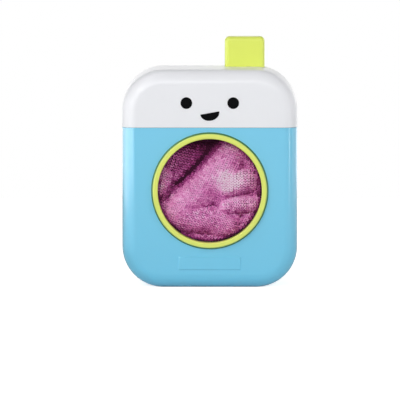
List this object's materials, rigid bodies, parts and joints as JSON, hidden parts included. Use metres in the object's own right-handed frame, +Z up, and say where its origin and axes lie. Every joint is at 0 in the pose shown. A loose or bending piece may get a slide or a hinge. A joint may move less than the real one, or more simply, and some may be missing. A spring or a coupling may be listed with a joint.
{
  "type": "toy washing machine",
  "caption": "Toddler's toy washing machine: pressing the plunger button on top spins the porthole drum with its knit cloth through a rack and step-up gears.",
  "frame": {"origin": "bottom centre of the whole object's box, on the surface that it stands on", "axes": "+Z up, the face and porthole towards -Y, +X to the right as seen from the front"},
  "size_m": [0.122, 0.069, 0.173],
  "materials": {
    "blue_case": "sky-blue glossy ABS",
    "white_hood": "cool white glossy ABS",
    "lime_trim": "lime glossy ABS",
    "black_print": "black pad print",
    "drum_white": "white polypropylene",
    "knit": "magenta stocking-stitch knit",
    "acetal": "natural acetal",
    "chassis_grey": "grey ABS",
    "rack_yellow": "yellow acetal",
    "steel": "bright steel",
    "screw_steel": "zinc-plated steel"
  },
  "bodies": {
    "case": {"front_shell": "blue_case", "rear_shell": "blue_case", "top_hood": "white_hood", "porthole_ring": "lime_trim", "left_eye": "black_print", "right_eye": "black_print", "mouth": "black_print", "plate_bush": "acetal", "cover_bush": "acetal", "gear_plate": "chassis_grey", "gear_axle": "steel", "gearbox_cover": "chassis_grey", "return_spring": "steel", "case_screw_1": "screw_steel", "case_screw_2": "screw_steel", "case_screw_3": "screw_steel", "case_screw_4": "screw_steel", "hood_screw_1": "screw_steel", "hood_screw_2": "screw_steel", "plate_screw_1": "screw_steel", "plate_screw_2": "screw_steel", "plate_screw_3": "screw_steel", "plate_screw_4": "screw_steel", "cover_screw_1": "screw_steel", "cover_screw_2": "screw_steel", "cover_screw_3": "screw_steel", "cover_screw_4": "screw_steel"},
    "spinning_drum": {"drum": "drum_white", "drum_shaft": "steel", "drum_gear": "acetal", "thrust_washer": "acetal", "shaft_clip": "steel", "drum_screw": "screw_steel"},
    "gear_train": {"drive_gear": "acetal"},
    "plunger": {"push_button": "lime_trim", "button_rack": "rack_yellow", "rack_screw_1": "screw_steel", "rack_screw_2": "screw_steel"},
    "laundry": {"knit_cloth": "knit"}
  },
  "joints": [
    {"name": "drum_turn", "type": "hinge", "parent": "case", "child": "spinning_drum", "pos_m": [0, 0, 0.068], "axis": [0, -1, 0], "range_deg": [0, 429.7]},
    {"name": "drive_gear_turn", "type": "hinge", "parent": "case", "child": "gear_train", "pos_m": [0.01375, 0, 0.098], "axis": [0, 1, 0], "range_deg": [0, 137.51]},
    {"name": "button_press", "type": "slide", "parent": "case", "child": "plunger", "axis": [0, 0, -1], "range_m": [0, 0.018], "stiffness_N_per_m": 120, "springref_m": -0.012, "deforming": ["return_spring"]},
    {"name": "cloth_pull", "type": "slide", "parent": "spinning_drum", "child": "laundry", "axis": [0, -1, 0], "range_m": [0, 0.05]}
  ],
  "couplings": [
    {"joint": "drive_gear_turn", "follows": "drum_turn", "ratio": 0.32},
    {"joint": "button_press", "follows": "drum_turn", "m_per_rad": 0.0024}
  ]
}
